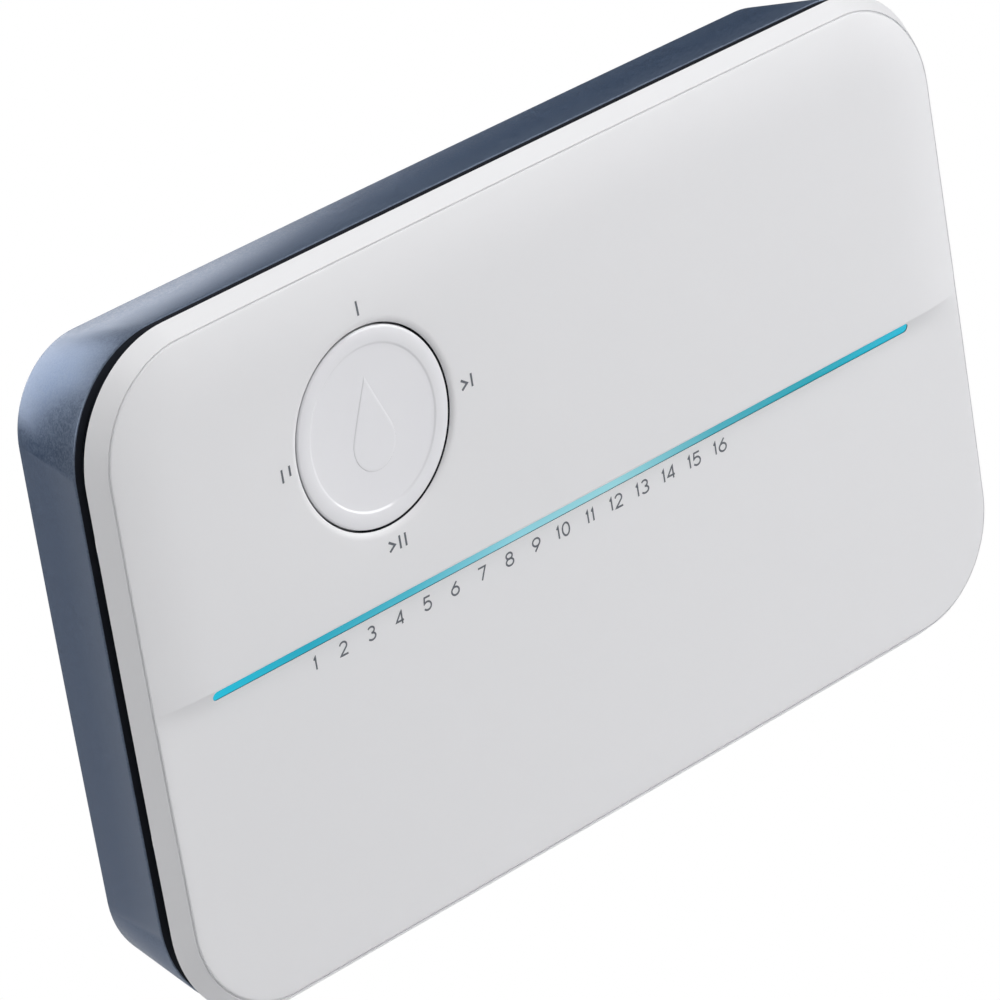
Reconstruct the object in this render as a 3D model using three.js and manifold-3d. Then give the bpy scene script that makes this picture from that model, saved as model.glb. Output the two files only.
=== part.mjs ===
// Wall-mounted sixteen-zone irrigation controller, as an assembly of separate pieces.
//
// The pieces are built with x to the right, y up the wall and z out of the wall, so a
// piece's z is its height above the wall. The exported group turns that frame so that
// +Z is up, the front faces -Y and the wall is the plane Y = 0. Sizes are millimetres.

import * as THREE from "three";
import { mergeVertices } from "three/addons/utils/BufferGeometryUtils.js";
import Module from "manifold-3d";

const wasm = await Module();
wasm.setup();

// ---------------------------------------------------------------- driving dimensions

const WIDTH = 232;
const HEIGHT = 140;
const DEPTH = 36;
const CORNER = 24.5;
const GAP = 0.3; // air left between a piece and the one that it rests on
const ARC = 5; // half the number of facets in a rounded corner
const ROUND = 32; // facets around a large round piece
const SMALL = 12; // facets around a pin, a screw or a small hole

// Front cover: a shallow tray with a bevelled side.
const RIM_Z = 30.6; // rear edge of the cover's side
const BEVEL = 3; // how far the side leans in towards the front
const FRONT_CORNER = 21.5;
const COVER_CEILING_Z = 33.4; // inner face of the cover's front wall
const COVER_HOLLOW = { w: WIDTH - 5, h: HEIGHT - 4.6, r: 22 };

// The step across the front: from the crease a ramp drops to the lower half of the face.
const CREASE_Y = -0.5;
const STEP_DEPTH = 1.3;
const RAMP_LENGTH = 5.5;

// Light bar, in a slot in the ramp.
const BAR_LENGTH = 196.2;
const BAR_HEIGHT = 1.9;
const BAR_X = -1.2;
const BAR_Y = -1.75;
const BAR_FRONT_Z = 35.2;
const BAR_SLOT_EXTRA = 0.3;
const BAR_FLANGE = { w: BAR_LENGTH + 3, h: 4.4, thickness: 1.2 };

// Rear housing: a tray that narrows towards the wall, on a smaller plinth.
const HOUSING_FRONT_Z = 26.9;
const SHOULDER_Z = 3.95;
const WALL = 2.2;
const HOUSING_FRONT = { w: WIDTH - 1.6, h: HEIGHT - 1.6, r: 24.2 };
const HOUSING_BACK = { w: WIDTH - 14.2, h: HEIGHT - 11, r: 17.5 };
const PLINTH = { w: 200, h: 112, r: 12 };

// Inner chassis: the dark frame that shows in the shadow gap.
const CHASSIS_RIM = { w: WIDTH - 7, h: HEIGHT - 7, r: 21 };
const CHASSIS_PLATE = { w: WIDTH - 9, h: HEIGHT - 8.6, r: 20.5 };
const CHASSIS_RIM_TOP_Z = 33;
const PLATE_Z = 26;
const PLATE_TOP_Z = 27.8;
const POCKET_FLOOR_Z = 26.8; // where the small boards sit, sunk into the plate
const POCKET_UNDER_Z = 24.9;

// Four-way button.
const BUTTON = { x: -49.35, y: 33.3 };
const BUTTON_HOLE_R = 20.2;
const BUTTON_R = 19.5;
const BUTTON_PIVOT_Z = 30.6;
const PIVOT_PIN_R = 0.7;
const PIVOT_HOLE_R = 0.95;
const SWITCH_OFFSET = 9.5;

// Circuit boards.
const BOARD = { w: 176, h: 104, r: 3 };
const BOARD_Z = 8.5;
const BOARD_TOP_Z = 10.1;
const SMALL_BOARD_Z = 27.1;
const SMALL_BOARD_TOP_Z = 28.3;

// Terminal blocks: each has nine push tabs, eight zones and one common.
const TABS_PER_BLOCK = 9;
const TAB_PITCH = 7.2;
const BLOCK = { w: 68, h: 14, z0: BOARD_TOP_Z + GAP, z1: 24.4 };
const BLOCK_X = 54;
const BLOCK_Y = -26;
const TAB = { w: 4.6, h: 5.2, z0: 18.5, z1: 27.2 };
const TAB_WELL_EXTRA = 0.6;
const TAB_WELL_FLOOR_Z = 15.5;

// Fasteners and wall fixing.
const CHASSIS_SCREW_SITES = corners(74, 57);
const BOARD_SITES = corners(82, 46);
const MAGNET_SITES = corners(102, 50);
const WALL_SCREW_SITES = [[-93.5, 20], [93.5, 20], [-93.5, -42], [93.5, -42]];
const WALL_SCREW_R = 2.4;
const DRIVER_ACCESS_R = 4.5;

// Cable entry in the rear face and power jack at the lower edge.
const CABLE_ENTRY = { x: 0, y: -38, w: 32, h: 20 };
const JACK = { x: 62, y: -45, w: 9, h: 14, z1: 21.4 };
const JACK_AXIS_Z = 16;
const JACK_SOCKET = { r: 3, depth: 10 };
const JACK_PIN_R = 0.9;
const JACK_HOLE = { r: 5.5, depth: 10 }; // in the housing's lower side

// ------------------------------------------------------------------------- materials

const material = (color, roughness, metalness = 0) =>
  new THREE.MeshStandardMaterial({ color, roughness, metalness });

const whitePlastic = material(0xe4e5e8, 0.45);
const glossWhite = material(0xe9eaed, 0.2);
const bluePaint = material(0x465a72, 0.4, 0.35);
const darkPlastic = material(0x10151d, 0.55);
const tealLight = material(0x12b4cc, 0.3);
const greenBoard = material(0x1d4a3a, 0.5);
const blackResin = material(0x18191b, 0.5);
const greyPlastic = material(0x8d949b, 0.5);
const palePlastic = material(0xd6d9dc, 0.5);
const silicone = material(0x5f666d, 0.8);
const rubber = material(0x1a1c1f, 0.85);
const steel = material(0xb9bdc2, 0.3, 1);
const magnetMetal = material(0xcfd2d6, 0.25, 1);
const orangeFilm = material(0xb98a3c, 0.5);

// ------------------------------------------------------------------- building helpers

// The four points at plus and minus x, y.
function corners(x, y) {
  return [[-x, y], [x, y], [-x, -y], [x, -y]];
}

// A closed three.js geometry as a solid that can be joined and cut.
function solid(geometry) {
  const bare = geometry.clone();
  bare.deleteAttribute("normal");
  bare.deleteAttribute("uv");
  const merged = mergeVertices(bare, 1e-4);
  return new wasm.Manifold(new wasm.Mesh({
    numProp: 3,
    vertProperties: new Float32Array(merged.attributes.position.array),
    triVerts: new Uint32Array(merged.index.array),
  }));
}

function joined(...pieces) {
  return pieces.reduce((whole, piece) => whole.add(piece));
}

function cut(body, ...tools) {
  return tools.reduce((left, tool) => left.subtract(tool), body);
}

function roundedRect({ w, h, r }, x = 0, y = 0) {
  const shape = new THREE.Shape();
  const right = x + w / 2 - r;
  const top = y + h / 2 - r;
  const left = x - w / 2 + r;
  const bottom = y - h / 2 + r;
  shape.absarc(right, top, r, 0, Math.PI / 2);
  shape.absarc(left, top, r, Math.PI / 2, Math.PI);
  shape.absarc(left, bottom, r, Math.PI, Math.PI * 1.5);
  shape.absarc(right, bottom, r, Math.PI * 1.5, Math.PI * 2);
  shape.closePath();
  return shape;
}

// A flat outline raised from z0 to z1.
function prism(shape, z0, z1) {
  const geometry = new THREE.ExtrudeGeometry(shape, {
    depth: z1 - z0,
    bevelEnabled: false,
    curveSegments: ARC,
  });
  return solid(geometry.translate(0, 0, z0));
}

// A slot-shaped plate with round ends, long in x.
function stadium(w, h, x, y, z0, z1) {
  return prism(roundedRect({ w, h, r: h / 2 - 0.01 }, x, y), z0, z1);
}

// A solid that goes from one rounded rectangle at z0 to another at z1.
function tapered(from, z0, to, z1) {
  const geometry = new THREE.ExtrudeGeometry(roundedRect(from), {
    depth: 1,
    bevelEnabled: false,
    curveSegments: ARC,
  });
  const position = geometry.attributes.position;
  for (let i = 0; i < position.count; i += 1) {
    const x = position.getX(i);
    const y = position.getY(i);
    const atFar = position.getZ(i) > 0.5;
    const across = (Math.abs(x) - from.w / 2) / from.r + 1;
    const up = (Math.abs(y) - from.h / 2) / from.r + 1;
    if (atFar) {
      position.setX(i, Math.sign(x) * (to.w / 2 + (across - 1) * to.r));
      position.setY(i, Math.sign(y) * (to.h / 2 + (up - 1) * to.r));
    }
    position.setZ(i, atFar ? z1 : z0);
  }
  return solid(geometry);
}

function block(w, h, x, y, z0, z1) {
  const geometry = new THREE.BoxGeometry(w, h, z1 - z0);
  return solid(geometry.translate(x, y, (z0 + z1) / 2));
}

function disc(r, x, y, z0, z1, facets = SMALL) {
  const geometry = new THREE.CylinderGeometry(r, r, z1 - z0, facets);
  return solid(geometry.rotateX(Math.PI / 2).translate(x, y, (z0 + z1) / 2));
}

function ring(outer, inner, x, y, z0, z1, facets = ROUND) {
  return cut(disc(outer, x, y, z0, z1, facets), disc(inner, x, y, z0 - 1, z1 + 1, facets));
}

// A rod along x from x0 to x1, or along y from y0 to y1.
function rodAlongX(r, x0, x1, y, z) {
  const geometry = new THREE.CylinderGeometry(r, r, x1 - x0, SMALL);
  return solid(geometry.rotateZ(Math.PI / 2).translate((x0 + x1) / 2, y, z));
}

function rodAlongY(r, y0, y1, x, z) {
  const geometry = new THREE.CylinderGeometry(r, r, y1 - y0, SMALL);
  return solid(geometry.translate(x, (y0 + y1) / 2, z));
}

// A profile drawn in the (y, z) plane and carried along x.
function acrossX(shape, x0, x1, segments) {
  const geometry = new THREE.ExtrudeGeometry(shape, {
    depth: x1 - x0,
    bevelEnabled: false,
    curveSegments: segments,
  });
  const turn = new THREE.Matrix4().makeBasis(
    new THREE.Vector3(0, 1, 0),
    new THREE.Vector3(0, 0, 1),
    new THREE.Vector3(1, 0, 0),
  );
  return solid(geometry.applyMatrix4(turn).translate(x0, 0, 0));
}

// A named mesh from a solid.
function piece(name, body, finish) {
  const { vertProperties, triVerts } = body.getMesh();
  const geometry = new THREE.BufferGeometry();
  geometry.setAttribute("position", new THREE.BufferAttribute(vertProperties, 3));
  geometry.setIndex(new THREE.BufferAttribute(triVerts, 1));
  geometry.computeVertexNormals();
  const mesh = new THREE.Mesh(geometry, finish);
  mesh.name = name;
  return mesh;
}

// --------------------------------------------------------------------- cover pieces

const MAGNET_R = 4;
const MAGNET_Z = 31.3;
const BOSS_WALL = 1.5;

// The air in front of the lower half of the face, with the ramp as its upper edge.
function stepCut() {
  const above = DEPTH + 1;
  const lower = DEPTH - STEP_DEPTH;
  const shape = new THREE.Shape();
  shape.moveTo(CREASE_Y, above);
  shape.lineTo(-HEIGHT, above);
  shape.lineTo(-HEIGHT, lower);
  shape.lineTo(CREASE_Y - RAMP_LENGTH, lower);
  shape.quadraticCurveTo(CREASE_Y - RAMP_LENGTH / 2, lower, CREASE_Y, DEPTH);
  shape.closePath();
  return acrossX(shape, -WIDTH, WIDTH, ARC);
}

function frontCover() {
  const rim = { w: WIDTH, h: HEIGHT, r: CORNER };
  const front = { w: WIDTH - 2 * BEVEL, h: HEIGHT - 2 * BEVEL, r: FRONT_CORNER };
  const shell = cut(
    tapered(rim, RIM_Z, front, DEPTH),
    prism(roundedRect(COVER_HOLLOW), RIM_Z - 1, COVER_CEILING_Z),
    stepCut(),
    disc(BUTTON_HOLE_R, BUTTON.x, BUTTON.y, RIM_Z, DEPTH + 1, 2 * ROUND),
    stadium(
      BAR_LENGTH + BAR_SLOT_EXTRA,
      BAR_HEIGHT + BAR_SLOT_EXTRA,
      BAR_X,
      BAR_Y,
      RIM_Z,
      DEPTH,
    ),
  );
  const bossInner = MAGNET_R + GAP;
  const bosses = MAGNET_SITES.map(([x, y]) =>
    ring(bossInner + BOSS_WALL, bossInner, x, y, MAGNET_Z, COVER_CEILING_Z + GAP, 2 * SMALL));
  return piece("front_cover", joined(shell, ...bosses), whitePlastic);
}

function coverMagnets() {
  return MAGNET_SITES.map(([x, y], i) =>
    piece(
      `cover_magnet_${i + 1}`,
      disc(MAGNET_R, x, y, MAGNET_Z, COVER_CEILING_Z - GAP, 2 * SMALL),
      magnetMetal,
    ));
}

function lightBar() {
  const flangeTop = COVER_CEILING_Z - GAP;
  const { w, h, thickness } = BAR_FLANGE;
  const flange = block(w, h, BAR_X, BAR_Y, flangeTop - thickness, flangeTop);
  const stripZ = flangeTop - thickness / 2;
  const strip = stadium(BAR_LENGTH, BAR_HEIGHT, BAR_X, BAR_Y, stripZ, BAR_FRONT_Z);
  return piece("light_bar", joined(flange, strip), tealLight);
}

// ------------------------------------------------------------------- four-way button

const FLANGE_R = 21;
const FLANGE_Z = 31.4;
const FLANGE_TOP_Z = 32.2;
const SKIRT_INNER_R = 17.4;
const CAP_UNDER_Z = 33.6;
const CAP_RIM_Z = 35.5; // the cap sits a little below the cover's face
const DISH_R = 16.4; // the middle is a shallow dish
const DISH_STEP = 0.2;
const DISH_Z = 35;
const CAP_POST_R = 1.5; // four posts press the switches
const LUG_WIDTH = 3.2; // two lugs hold the pivot pins
const LUG_INNER = 16.9;
const LUG_OUTER = 18.9;
const LUG_BOTTOM_Z = 29.5;
const POST_BOTTOM_Z = 31.8;
const PIN_NOTCH = { w: 3.6, h: 1.8 }; // room in the skirt for the retainer's pins
const RETAINER_INNER_R = 21.6;
const RETAINER_OUTER_R = 24.4;
const RETAINER_Z = 29.2;
const GIMBAL_INNER_R = 14.4;
const GIMBAL_OUTER_R = 16.4;
const GIMBAL_THICKNESS = 1.4;
const PIN_REACH_X = 23.5;
const PIN_REACH_Y = 18.6;

const compass = [[0, 1], [1, 0], [0, -1], [-1, 0]];

function buttonCap() {
  const profile = [
    [0, CAP_UNDER_Z],
    [SKIRT_INNER_R, CAP_UNDER_Z],
    [SKIRT_INNER_R, FLANGE_Z],
    [FLANGE_R, FLANGE_Z],
    [FLANGE_R, FLANGE_TOP_Z],
    [BUTTON_R, FLANGE_TOP_Z],
    [BUTTON_R, CAP_RIM_Z - 0.4],
    [BUTTON_R - 0.4, CAP_RIM_Z],
    [DISH_R, CAP_RIM_Z],
    [DISH_R - DISH_STEP, CAP_RIM_Z - DISH_STEP],
    [DISH_R / 2, DISH_Z + 0.08],
    [0, DISH_Z],
  ].map(([r, z]) => new THREE.Vector2(r, z));
  const turned = new THREE.LatheGeometry(profile, 2 * ROUND);
  const shell = solid(turned.rotateX(Math.PI / 2));
  const posts = compass.map(([x, y]) =>
    disc(
      CAP_POST_R,
      x * SWITCH_OFFSET,
      y * SWITCH_OFFSET,
      POST_BOTTOM_Z,
      CAP_UNDER_Z + GAP,
    ));
  const lugs = [1, -1].map((side) =>
    block(
      LUG_WIDTH,
      LUG_OUTER - LUG_INNER,
      0,
      side * (LUG_OUTER + LUG_INNER) / 2,
      LUG_BOTTOM_Z,
      CAP_UNDER_Z + GAP,
    ));
  const notchTopZ = FLANGE_Z + PIN_NOTCH.h;
  const pinNotch = block(2 * FLANGE_R + 2, PIN_NOTCH.w, 0, 0, LUG_BOTTOM_Z, notchTopZ);
  const pinHole = rodAlongY(PIVOT_HOLE_R, -BUTTON_R, BUTTON_R, 0, BUTTON_PIVOT_Z);
  const cap = joined(cut(shell, pinNotch), ...posts, ...lugs);
  const placed = cut(cap, pinHole).translate(BUTTON.x, BUTTON.y, 0);
  return piece("button_cap", placed, glossWhite);
}

// The ring between cap and retainer: it turns about x, and the cap turns on it about y.
function buttonGimbal() {
  const z = BUTTON_PIVOT_Z;
  const half = GIMBAL_THICKNESS / 2;
  const band = ring(GIMBAL_OUTER_R, GIMBAL_INNER_R, 0, 0, z - half, z + half);
  const start = (GIMBAL_INNER_R + GIMBAL_OUTER_R) / 2;
  const body = joined(
    band,
    rodAlongX(PIVOT_PIN_R, start, PIN_REACH_X, 0, z),
    rodAlongX(PIVOT_PIN_R, -PIN_REACH_X, -start, 0, z),
    rodAlongY(PIVOT_PIN_R, start, PIN_REACH_Y, 0, z),
    rodAlongY(PIVOT_PIN_R, -PIN_REACH_Y, -start, 0, z),
  );
  return piece("button_gimbal", body.translate(BUTTON.x, BUTTON.y, 0), greyPlastic);
}

function buttonRetainer() {
  const top = COVER_CEILING_Z - GAP;
  const band = ring(RETAINER_OUTER_R, RETAINER_INNER_R, 0, 0, RETAINER_Z, top);
  const socket = rodAlongX(
    PIVOT_HOLE_R,
    -RETAINER_OUTER_R - 1,
    RETAINER_OUTER_R + 1,
    0,
    BUTTON_PIVOT_Z,
  );
  const body = cut(band, socket).translate(BUTTON.x, BUTTON.y, 0);
  return piece("button_retainer", body, darkPlastic);
}

const SWITCH_Z = SMALL_BOARD_TOP_Z + 0.2;
const SWITCH_SIZE = 4.2;
const SWITCH_TOP_Z = 30;
const PLUNGER_R = 1;
const PLUNGER_TOP_Z = 30.4;
const KEYPAD_R = 13.4;
const KEYPAD_WALL = 1;
const KEYPAD_SHEET_Z = 30.7;
const KEYPAD_TOP_Z = 31.2;
const SWITCH_BOARD_R = 19;

function keypadSheet() {
  const { x, y } = BUTTON;
  const dome = disc(KEYPAD_R, x, y, SWITCH_Z, KEYPAD_TOP_Z, ROUND);
  const hollow = disc(KEYPAD_R - KEYPAD_WALL, x, y, SWITCH_Z - 1, KEYPAD_SHEET_Z, ROUND);
  return piece("keypad_sheet", cut(dome, hollow), silicone);
}

function tactSwitches() {
  return compass.map(([dx, dy], i) => {
    const x = BUTTON.x + dx * SWITCH_OFFSET;
    const y = BUTTON.y + dy * SWITCH_OFFSET;
    const body = joined(
      block(SWITCH_SIZE, SWITCH_SIZE, x, y, SWITCH_Z, SWITCH_TOP_Z),
      disc(PLUNGER_R, x, y, SWITCH_TOP_Z - 0.2, PLUNGER_TOP_Z),
    );
    return piece(`tact_switch_${i + 1}`, body, blackResin);
  });
}

function switchBoard() {
  const body = disc(
    SWITCH_BOARD_R,
    BUTTON.x,
    BUTTON.y,
    SMALL_BOARD_Z,
    SMALL_BOARD_TOP_Z,
    ROUND,
  );
  return piece("switch_board", body, greenBoard);
}

const FLEX = { w: 7, h: 20.5, x: BUTTON.x - 10.6, y: 10.25 };

// Flat cable from the switch board down to the light board.
function switchFlex() {
  const body = block(FLEX.w, FLEX.h, FLEX.x, FLEX.y, SWITCH_Z, SWITCH_Z + GAP);
  return piece("switch_flex", body, orangeFilm);
}

// ------------------------------------------------------------------ light-bar board

const LED_COUNT = 18;
const LED_BOARD = { w: 206, h: 8 };
const LED = { w: 3.4, h: 2.6 };
const LED_TOP_Z = 30.2;

function ledBoard() {
  const board = block(
    LED_BOARD.w,
    LED_BOARD.h,
    BAR_X,
    BAR_Y,
    SMALL_BOARD_Z,
    SMALL_BOARD_TOP_Z,
  );
  const pitch = BAR_LENGTH / LED_COUNT;
  const lamps = [];
  for (let i = 0; i < LED_COUNT; i += 1) {
    const x = BAR_X + (i - (LED_COUNT - 1) / 2) * pitch;
    lamps.push(block(LED.w, LED.h, x, BAR_Y, SMALL_BOARD_TOP_Z - 0.2, LED_TOP_Z));
  }
  return piece("led_board", joined(board, ...lamps), palePlastic);
}

// --------------------------------------------------------------------- inner chassis

const CATCH_R = 5;
const CATCH_Z = 29.9;
const CATCH_TOP_Z = 30.9;
const PAD_R = 5.6;
const WINDOW = { w: 180, h: 39, r: 6 };
const WINDOW_Y = -31.5;
const SCREW_HOLE_R = 1.9;
const POCKET_EXTRA = 1;
const POCKET_WALL = 2.4;
const RIBBON_SLOT = { w: 14, h: 3 };

function innerChassis() {
  const rimInner = {
    w: CHASSIS_RIM.w - 2 * WALL,
    h: CHASSIS_RIM.h - 2 * WALL,
    r: CHASSIS_RIM.r - WALL,
  };
  const rim = cut(
    prism(roundedRect(CHASSIS_RIM), PLATE_TOP_Z - 0.2, CHASSIS_RIM_TOP_Z),
    prism(roundedRect(rimInner), PLATE_TOP_Z, CHASSIS_RIM_TOP_Z + 1),
  );
  const plate = prism(roundedRect(CHASSIS_PLATE), PLATE_Z, PLATE_TOP_Z);
  const pocketR = SWITCH_BOARD_R + POCKET_EXTRA;
  const pocketW = LED_BOARD.w + POCKET_EXTRA;
  const pocketH = LED_BOARD.h + POCKET_EXTRA;
  const cupW = pocketW + POCKET_WALL;
  const cupH = pocketH + POCKET_WALL;
  const cups = [
    disc(pocketR + POCKET_WALL, BUTTON.x, BUTTON.y, POCKET_UNDER_Z, PLATE_TOP_Z, ROUND),
    block(cupW, cupH, BAR_X, BAR_Y, POCKET_UNDER_Z, PLATE_TOP_Z),
  ];
  const pads = MAGNET_SITES.map(([x, y]) =>
    disc(PAD_R, x, y, PLATE_Z, CATCH_Z - GAP, 2 * SMALL));
  const body = joined(plate, rim, ...cups, ...pads);
  const above = PLATE_TOP_Z + 1;
  const below = POCKET_UNDER_Z - 1;
  const screwHoles = CHASSIS_SCREW_SITES.map(([x, y]) =>
    disc(SCREW_HOLE_R, x, y, below, above));
  const accessHoles = WALL_SCREW_SITES.map(([x, y]) =>
    disc(DRIVER_ACCESS_R, x, y, below, above, 2 * SMALL));
  const opened = cut(
    body,
    disc(pocketR, BUTTON.x, BUTTON.y, POCKET_FLOOR_Z, above, ROUND),
    block(pocketW, pocketH, BAR_X, BAR_Y, POCKET_FLOOR_Z, above),
    block(RIBBON_SLOT.w, RIBBON_SLOT.h, 0, BAR_Y, below, above),
    prism(roundedRect(WINDOW, 0, WINDOW_Y), below, above),
    ...screwHoles,
    ...accessHoles,
  );
  return piece("inner_chassis", opened, darkPlastic);
}

function catchPlates() {
  return MAGNET_SITES.map(([x, y], i) =>
    piece(`catch_plate_${i + 1}`, disc(CATCH_R, x, y, CATCH_Z, CATCH_TOP_Z, 2 * SMALL), steel));
}

// A pan-head screw with a cross recess, its head's underside at z.
function screw(name, { x, y, z, headR, headHeight, shaftR, length }) {
  const slot = headR * 1.2;
  const recess = headHeight * 0.5;
  const top = z + headHeight;
  const body = cut(
    joined(
      disc(headR, x, y, z, top, 2 * SMALL),
      disc(shaftR, x, y, z - length, z + recess / 2),
    ),
    block(slot, headR * 0.3, x, y, top - recess, top + 1),
    block(headR * 0.3, slot, x, y, top - recess, top + 1),
  );
  return piece(name, body, steel);
}

function chassisScrews() {
  return CHASSIS_SCREW_SITES.map(([x, y], i) =>
    screw(`chassis_screw_${i + 1}`, {
      x,
      y,
      z: PLATE_TOP_Z + GAP,
      headR: 3,
      headHeight: 1.9,
      shaftR: 1.5,
      length: 15,
    }));
}

// ---------------------------------------------------------------------- rear housing

const POST_R = 4.2;
const STANDOFF_R = 3;
const PEG_R = 1.3;
const SEAT_R = 5;
const SEAT_Z = 3.2;

const inset = ({ w, h, r }, by) => ({ w: w - 2 * by, h: h - 2 * by, r: r - by });

function housingShell() {
  const outside = joined(
    prism(roundedRect(PLINTH), 0, SHOULDER_Z + 0.5),
    tapered(HOUSING_BACK, SHOULDER_Z, HOUSING_FRONT, HOUSING_FRONT_Z),
  );
  const floor = SHOULDER_Z + WALL;
  const share = WALL / (HOUSING_FRONT_Z - SHOULDER_Z);
  const mix = (key) =>
    HOUSING_BACK[key] + (HOUSING_FRONT[key] - HOUSING_BACK[key]) * share;
  const hollowBack = inset({ w: mix("w"), h: mix("h"), r: mix("r") }, WALL);
  const pastFront = {
    w: HOUSING_FRONT.w + (HOUSING_FRONT.w - hollowBack.w - 2 * WALL) * share,
    h: HOUSING_FRONT.h + (HOUSING_FRONT.h - hollowBack.h - 2 * WALL) * share,
    r: HOUSING_FRONT.r,
  };
  return cut(
    outside,
    prism(roundedRect(inset(PLINTH, WALL)), WALL, floor + 1),
    tapered(hollowBack, floor, inset(pastFront, WALL), HOUSING_FRONT_Z + WALL),
  );
}

function rearHousing() {
  const posts = CHASSIS_SCREW_SITES.map(([x, y]) =>
    disc(POST_R, x, y, SHOULDER_Z + 1, PLATE_Z - GAP, 2 * SMALL));
  const standoffs = BOARD_SITES.map(([x, y]) =>
    disc(STANDOFF_R, x, y, WALL / 2, BOARD_Z - GAP, 2 * SMALL));
  const pegs = BOARD_SITES.slice(1, 3).map(([x, y]) =>
    disc(PEG_R, x, y, WALL, BOARD_TOP_Z + 1));
  const seats = WALL_SCREW_SITES.map(([x, y]) =>
    disc(SEAT_R, x, y, WALL / 2, SEAT_Z, 2 * SMALL));
  const body = joined(housingShell(), ...posts, ...standoffs, ...pegs, ...seats);
  const postHoles = CHASSIS_SCREW_SITES.map(([x, y]) =>
    disc(SCREW_HOLE_R, x, y, SHOULDER_Z + 6, PLATE_Z));
  const screwed = [BOARD_SITES[0], BOARD_SITES[3]];
  const standoffHoles = screwed.map(([x, y]) => disc(PEG_R, x, y, WALL + 1, BOARD_Z));
  const wallHoles = WALL_SCREW_SITES.map(([x, y]) =>
    disc(WALL_SCREW_R, x, y, -1, SEAT_Z + 1, 2 * SMALL));
  const { x, y, w, h } = CABLE_ENTRY;
  const lower = -HEIGHT / 2;
  const opened = cut(
    body,
    stadium(w, h, x, y, -1, WALL + 1),
    rodAlongY(JACK_HOLE.r, lower - 1, lower + JACK_HOLE.depth, JACK.x, JACK_AXIS_Z),
    ...postHoles,
    ...standoffHoles,
    ...wallHoles,
  );
  return piece("rear_housing", opened, bluePaint);
}

const GROMMET = { lip: 4, lipTop: 1.6, bore: 5 };

function cableGrommet() {
  const { x, y, w, h } = CABLE_ENTRY;
  const { lip, lipTop, bore } = GROMMET;
  const sleeve = stadium(w - 2 * GAP, h - 2 * GAP, x, y, GAP, WALL + 2 * GAP);
  const collar = stadium(w + lip, h + lip, x, y, WALL + GAP, WALL + lipTop);
  const opening = stadium(w - bore, h - bore, x, y, -1, WALL + lipTop + 1);
  return piece("cable_grommet", cut(joined(sleeve, collar), opening), rubber);
}

// ------------------------------------------------------------------------ main board

const NOTCH = { w: 38, h: 30, y: -40 }; // room for the cable entry
const BOARD_HOLE_R = 1.7;

function mainBoard() {
  const holes = BOARD_SITES.map(([x, y]) =>
    disc(BOARD_HOLE_R, x, y, BOARD_Z - 1, BOARD_TOP_Z + 1));
  const body = cut(
    prism(roundedRect(BOARD), BOARD_Z, BOARD_TOP_Z),
    block(NOTCH.w, NOTCH.h, 0, NOTCH.y, BOARD_Z - 1, BOARD_TOP_Z + 1),
    ...holes,
  );
  return piece("main_board", body, greenBoard);
}

function boardScrews() {
  return [BOARD_SITES[0], BOARD_SITES[3]].map(([x, y], i) =>
    screw(`board_screw_${i + 1}`, {
      x,
      y,
      z: BOARD_TOP_Z + GAP,
      headR: 2.7,
      headHeight: 1.6,
      shaftR: 1,
      length: 6,
    }));
}

// A part that stands on the main board.
function onBoard(name, w, h, x, y, height, finish) {
  const z0 = BOARD_TOP_Z + GAP;
  return piece(name, block(w, h, x, y, z0, z0 + height), finish);
}

function boardParts() {
  const z0 = BOARD_TOP_Z + GAP;
  return [
    onBoard("radio_module", 26, 18, -62, 38, 3, steel),
    onBoard("processor_chip", 14, 14, -24, 22, 1.6, blackResin),
    onBoard("driver_chip_1", 16, 10, -40, -6, 2.4, blackResin),
    onBoard("driver_chip_2", 16, 10, 40, -6, 2.4, blackResin),
    onBoard("fuse", 4, 9, 76, -6, 9, orangeFilm),
    onBoard("power_inductor", 12, 12, 36, 26, 6, greyPlastic),
    piece("filter_capacitor", disc(5, 60, 16, z0, z0 + 13.5, 2 * SMALL), blackResin),
  ];
}

function powerJack() {
  const { x, y, w, h, z1 } = JACK;
  const mouth = y - h / 2;
  const end = mouth + JACK_SOCKET.depth;
  const socket = rodAlongY(JACK_SOCKET.r, mouth - 1, end, x, JACK_AXIS_Z);
  const pin = rodAlongY(JACK_PIN_R, mouth + 1, end + 1, x, JACK_AXIS_Z);
  const body = joined(cut(block(w, h, x, y, BOARD_TOP_Z + GAP, z1), socket), pin);
  return piece("power_jack", body, blackResin);
}

const RIBBON = { w: 12, thickness: 0.6, bend: 6, tail: 18 };

// Flat cable from the main board, up through the chassis, to the back of the light board.
function ribbonCable() {
  const { w, thickness, bend, tail } = RIBBON;
  const lowZ = BOARD_TOP_Z + GAP;
  const shape = new THREE.Shape();
  const left = BAR_Y - thickness / 2;
  const right = BAR_Y + thickness / 2;
  const topZ = SMALL_BOARD_Z - GAP;
  shape.moveTo(left, topZ);
  shape.lineTo(left, lowZ + bend);
  shape.absarc(left + bend, lowZ + bend, bend, Math.PI, Math.PI * 1.5);
  shape.lineTo(tail, lowZ);
  shape.lineTo(tail, lowZ + thickness);
  shape.lineTo(left + bend, lowZ + thickness);
  shape.absarc(
    left + bend,
    lowZ + bend,
    bend - thickness,
    Math.PI * 1.5,
    Math.PI,
    true,
  );
  shape.lineTo(right, topZ);
  shape.closePath();
  return piece("ribbon_cable", acrossX(shape, -w / 2, w / 2, ARC), greyPlastic);
}

// ------------------------------------------------------------------- wire terminals

const TAB_Y = BLOCK_Y + 2;
const WIRE_HOLE = { r: 1.4, z: 13, depth: 4 };

const tabX = (blockX, i) => blockX + (i - (TABS_PER_BLOCK - 1) / 2) * TAB_PITCH;

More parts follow.
